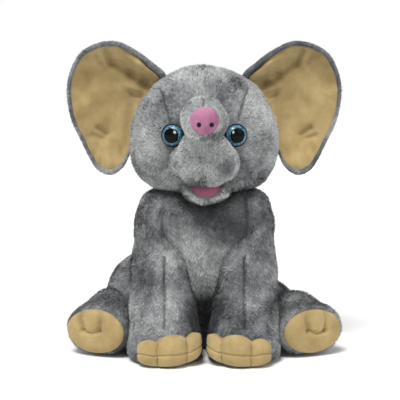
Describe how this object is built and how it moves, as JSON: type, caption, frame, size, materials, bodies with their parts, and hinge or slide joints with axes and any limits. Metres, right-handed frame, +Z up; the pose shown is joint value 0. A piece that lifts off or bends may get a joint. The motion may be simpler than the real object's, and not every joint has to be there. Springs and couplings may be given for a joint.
{
  "type": "stuffed elephant toy",
  "caption": "Seated plush elephant with long grey pile, tan ears and soles, an upturned trunk with a felt tip, glitter eyes, and limbs, ears, head, trunk and tail that flex.",
  "frame": {"origin": "centre of the bounding box on the floor that the toy sits on", "axes": "+Z up, the face looks along -Y, the toy's own left side is at +X"},
  "size_m": [0.3302, 0.2616, 0.377],
  "materials": {
    "grey_plush": "matte",
    "muzzle_plush": "matte",
    "tan_velour": "matte",
    "pink_felt": "matte",
    "mouth_velour": "matte",
    "black_thread": "satin",
    "stuffing": "matte",
    "clear_plastic": "gloss",
    "glitter_blue": "gloss",
    "black_plastic": "gloss",
    "white_plastic": "satin"
  },
  "bodies": {
    "torso": {"torso_skin": "grey_plush", "torso_stuffing": "stuffing"},
    "neck": {"neck_stuffing": "stuffing"},
    "head": {"head_skin": "grey_plush", "head_stuffing": "stuffing", "lower_lip": "grey_plush", "mouth_lining": "mouth_velour", "left_eye_dome": "clear_plastic", "left_eye_iris": "glitter_blue", "left_eye_pupil": "black_plastic", "left_eye_stem": "black_plastic", "left_eye_washer": "white_plastic", "right_eye_dome": "clear_plastic", "right_eye_iris": "glitter_blue", "right_eye_pupil": "black_plastic", "right_eye_stem": "black_plastic", "right_eye_washer": "white_plastic"},
    "trunk": {"trunk_skin": "muzzle_plush", "trunk_stuffing": "stuffing", "trunk_tip_patch": "pink_felt", "left_nostril": "black_thread", "right_nostril": "black_thread"},
    "tail": {"tail": "grey_plush", "tail_tuft": "grey_plush"},
    "left_ear": {"left_ear_back": "grey_plush", "left_ear_lining": "tan_velour"},
    "left_front_leg": {"left_front_leg_skin": "grey_plush", "left_front_leg_stuffing": "stuffing", "left_front_toe_pad": "tan_velour"},
    "left_hind_leg": {"left_hind_leg_skin": "grey_plush", "left_hind_leg_stuffing": "stuffing", "left_hind_sole_pad": "tan_velour"},
    "right_ear": {"right_ear_back": "grey_plush", "right_ear_lining": "tan_velour"},
    "right_front_leg": {"right_front_leg_skin": "grey_plush", "right_front_leg_stuffing": "stuffing", "right_front_toe_pad": "tan_velour"},
    "right_hind_leg": {"right_hind_leg_skin": "grey_plush", "right_hind_leg_stuffing": "stuffing", "right_hind_sole_pad": "tan_velour"}
  },
  "joints": [
    {"name": "neck_turn", "type": "hinge", "parent": "torso", "child": "neck", "pos_m": [0, 0.0073, 0.196], "axis": [0, 0, 1], "range_deg": [-20, 20], "stiffness_Nm_per_rad": 1.5},
    {"name": "head_nod", "type": "hinge", "parent": "neck", "child": "head", "pos_m": [0, 0.0073, 0.272], "axis": [1, 0, 0], "range_deg": [-20, 4], "stiffness_Nm_per_rad": 2},
    {"name": "trunk_bend", "type": "hinge", "parent": "head", "child": "trunk", "pos_m": [0, -0.0677, 0.238], "axis": [1, 0, 0], "range_deg": [-4, 25], "stiffness_Nm_per_rad": 0.4},
    {"name": "left_ear_fold", "type": "hinge", "parent": "head", "child": "left_ear", "pos_m": [0.07, 0.0163, 0.2935], "axis": [0.4116, 0, -0.9114], "range_deg": [-20, 22], "stiffness_Nm_per_rad": 0.2},
    {"name": "right_ear_fold", "type": "hinge", "parent": "head", "child": "right_ear", "pos_m": [-0.07, 0.0163, 0.2935], "axis": [0.4116, 0, 0.9114], "range_deg": [-20, 22], "stiffness_Nm_per_rad": 0.2},
    {"name": "left_front_leg_swing", "type": "hinge", "parent": "torso", "child": "left_front_leg", "pos_m": [0.05, -0.0097, 0.156], "axis": [-1, 0, 0], "range_deg": [0, 45], "stiffness_Nm_per_rad": 0.5},
    {"name": "right_front_leg_swing", "type": "hinge", "parent": "torso", "child": "right_front_leg", "pos_m": [-0.05, -0.0097, 0.156], "axis": [-1, 0, 0], "range_deg": [0, 45], "stiffness_Nm_per_rad": 0.5},
    {"name": "left_hind_leg_lift", "type": "hinge", "parent": "torso", "child": "left_hind_leg", "pos_m": [0.11, 0.0123, 0.039], "axis": [-0.9135, -0.4067, 0], "range_deg": [0, 20], "stiffness_Nm_per_rad": 0.5},
    {"name": "right_hind_leg_lift", "type": "hinge", "parent": "torso", "child": "right_hind_leg", "pos_m": [-0.11, 0.0123, 0.039], "axis": [-0.9135, 0.4067, 0], "range_deg": [0, 20], "stiffness_Nm_per_rad": 0.5},
    {"name": "tail_swing", "type": "hinge", "parent": "torso", "child": "tail", "pos_m": [0, 0.1113, 0.066], "axis": [1, 0, 0], "range_deg": [0, 60], "stiffness_Nm_per_rad": 0.03}
  ]
}
